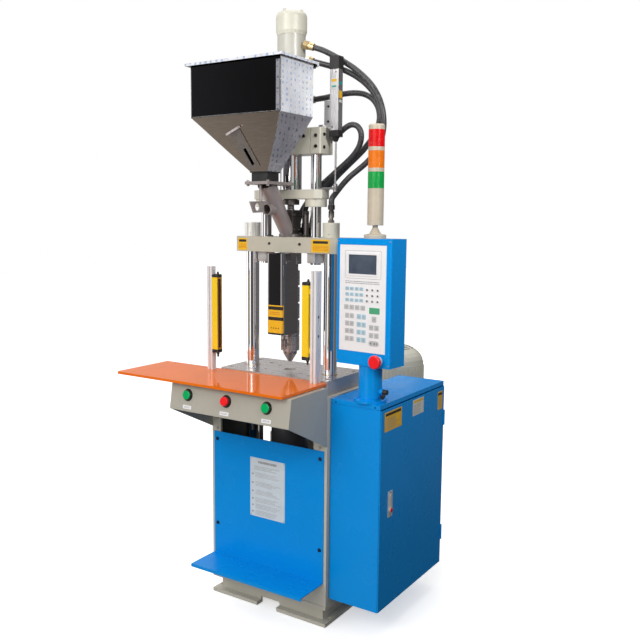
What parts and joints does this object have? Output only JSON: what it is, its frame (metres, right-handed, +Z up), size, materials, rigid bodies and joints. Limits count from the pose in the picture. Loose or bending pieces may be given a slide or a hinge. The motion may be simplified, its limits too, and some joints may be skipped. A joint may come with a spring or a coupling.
{
  "type": "vertical injection moulding machine",
  "caption": "Two-column vertical injection moulding machine with side cabinet, swivelling control box, signal tower, work table and material hopper.",
  "frame": {"origin": "floor point straight under the nozzle, at the centre of the front anchor hole pattern", "axes": "+X to the operator's right, +Y away from the operator, +Z up"},
  "size_m": [0.8938, 0.987, 1.941],
  "materials": {
    "beige_paint": "semi-gloss",
    "blue_paint": "gloss",
    "ground_steel": "ground",
    "hard_chrome": "polished",
    "cast_block": "machined",
    "mirror_sheet": "polished",
    "stainless": "satin",
    "black_rubber": "matt",
    "braided_hose": "textured",
    "fitting_steel": "plated",
    "bronze": "machined",
    "tool_steel": "machined",
    "amber_acrylic": "clear",
    "yellow_paint": "gloss",
    "aluminium_profile": "anodised",
    "black_plastic": "matt",
    "green_button": "gloss",
    "red_button": "gloss",
    "white_panel": "satin",
    "cream_plastic": "satin",
    "signal_lens": "ribbed",
    "dark_screw": "satin"
  },
  "bodies": {
    "machine": {"base": "beige_paint", "frame": "beige_paint", "front_panel": "blue_paint", "panel_screws": "dark_screw", "console": "beige_paint", "button_bezels": "black_plastic", "table": "amber_acrylic", "lower_platen": "ground_steel", "guide_bushes": "bronze", "clamp_cylinder": "beige_paint", "curtain_posts": "aluminium_profile", "curtain_bars": "yellow_paint", "cabinet": "blue_paint", "control_neck": "blue_paint", "oil_tank": "beige_paint", "motor_housing": "beige_paint"},
    "clamp": {"clamp_ram": "hard_chrome", "crossbeam": "beige_paint", "tie_bars": "hard_chrome", "tie_caps": "hard_chrome", "upper_platen": "beige_paint", "injection_rods": "hard_chrome", "rod_nuts": "tool_steel", "barrel": "tool_steel", "heater_bands": "stainless", "nozzle": "tool_steel", "barrel_cover": "mirror_sheet", "feed_block": "cast_block", "feed_chute": "stainless", "hopper_neck": "black_rubber", "hopper": "mirror_sheet", "top_plate": "beige_paint", "injection_cylinder": "beige_paint", "hydromotor": "beige_paint", "transducer": "aluminium_profile", "hose_upper": "braided_hose", "hose_second": "braided_hose", "hose_third": "braided_hose", "hose_lower": "braided_hose", "hose_fittings": "fitting_steel"},
    "lid": {"hopper_lid": "mirror_sheet"},
    "strip": {"sight_strip": "stainless"},
    "inject": {"crosshead": "beige_paint", "piston_rod": "hard_chrome", "transducer_rod": "tool_steel"},
    "drive": {"drive_shaft": "tool_steel"},
    "screw": {"coupling": "cast_block", "screw": "tool_steel"},
    "push_left": {"button_left": "green_button"},
    "push_stop": {"button_stop": "red_button"},
    "push_right": {"button_right": "green_button"},
    "door": {"cabinet_door": "blue_paint"},
    "handle": {"door_handle": "hard_chrome"},
    "control": {"control_box": "blue_paint", "control_panel": "white_panel", "tower_body": "cream_plastic", "tower_lenses": "signal_lens"},
    "estop": {"estop_button": "red_button"},
    "lever": {"clamp_lever": "black_plastic"},
    "rotor": {"motor_rotor": "tool_steel"}
  },
  "joints": [
    {"name": "clamp_slide", "type": "slide", "parent": "machine", "child": "clamp", "axis": [0, 0, 1], "range_m": [-0.02, 0.15]},
    {"name": "injection_slide", "type": "slide", "parent": "clamp", "child": "inject", "axis": [0, 0, 1], "range_m": [-0.003, 0.1]},
    {"name": "drive_spin", "type": "hinge", "parent": "clamp", "child": "drive", "pos_m": [0, 0, 1.6], "axis": [0, 0, 1], "continuous": true},
    {"name": "screw_spin", "type": "hinge", "parent": "inject", "child": "screw", "pos_m": [0, 0, 1.4], "axis": [0, 0, 1], "continuous": true},
    {"name": "lid_hinge", "type": "hinge", "parent": "clamp", "child": "lid", "pos_m": [-0.044, -0.053, 1.746], "axis": [-1, 0, 0], "range_deg": [0, 55]},
    {"name": "strip_slide", "type": "slide", "parent": "clamp", "child": "strip", "axis": [-0.3617, -0.3399, 0.8681], "range_m": [0, 0.05]},
    {"name": "left_button_push", "type": "slide", "parent": "machine", "child": "push_left", "axis": [0, 0.9867, -0.1625], "range_m": [0, 0.0025], "stiffness_N_per_m": 400},
    {"name": "stop_button_push", "type": "slide", "parent": "machine", "child": "push_stop", "axis": [0, 0.9867, -0.1625], "range_m": [0, 0.0025], "stiffness_N_per_m": 400},
    {"name": "right_button_push", "type": "slide", "parent": "machine", "child": "push_right", "axis": [0, 0.9867, -0.1625], "range_m": [0, 0.0025], "stiffness_N_per_m": 400},
    {"name": "control_swivel", "type": "hinge", "parent": "machine", "child": "control", "pos_m": [0.346, -0.072, 0.86], "axis": [0, 0, 1], "range_deg": [-50, 50]},
    {"name": "estop_push", "type": "slide", "parent": "control", "child": "estop", "axis": [0.0819, 0.9966, 0], "range_m": [0, 0.006], "stiffness_N_per_m": 600},
    {"name": "lever_turn", "type": "hinge", "parent": "machine", "child": "lever", "pos_m": [0.39, -0.072, 0.772], "axis": [1, 0, 0], "range_deg": [-60, 30]},
    {"name": "door_hinge", "type": "hinge", "parent": "machine", "child": "door", "pos_m": [0.407, 0.342, 0.4], "axis": [0, 0, 1], "range_deg": [0, 110]},
    {"name": "handle_turn", "type": "hinge", "parent": "door", "child": "handle", "pos_m": [0.41, -0.047, 0.402], "axis": [1, 0, 0], "range_deg": [0, 90]},
    {"name": "motor_spin", "type": "hinge", "parent": "machine", "child": "rotor", "pos_m": [0.142, 0.5, 0.6], "axis": [0, 0, 1], "continuous": true}
  ],
  "couplings": [
    {"joint": "screw_spin", "follows": "drive_spin", "ratio": 1}
  ]
}
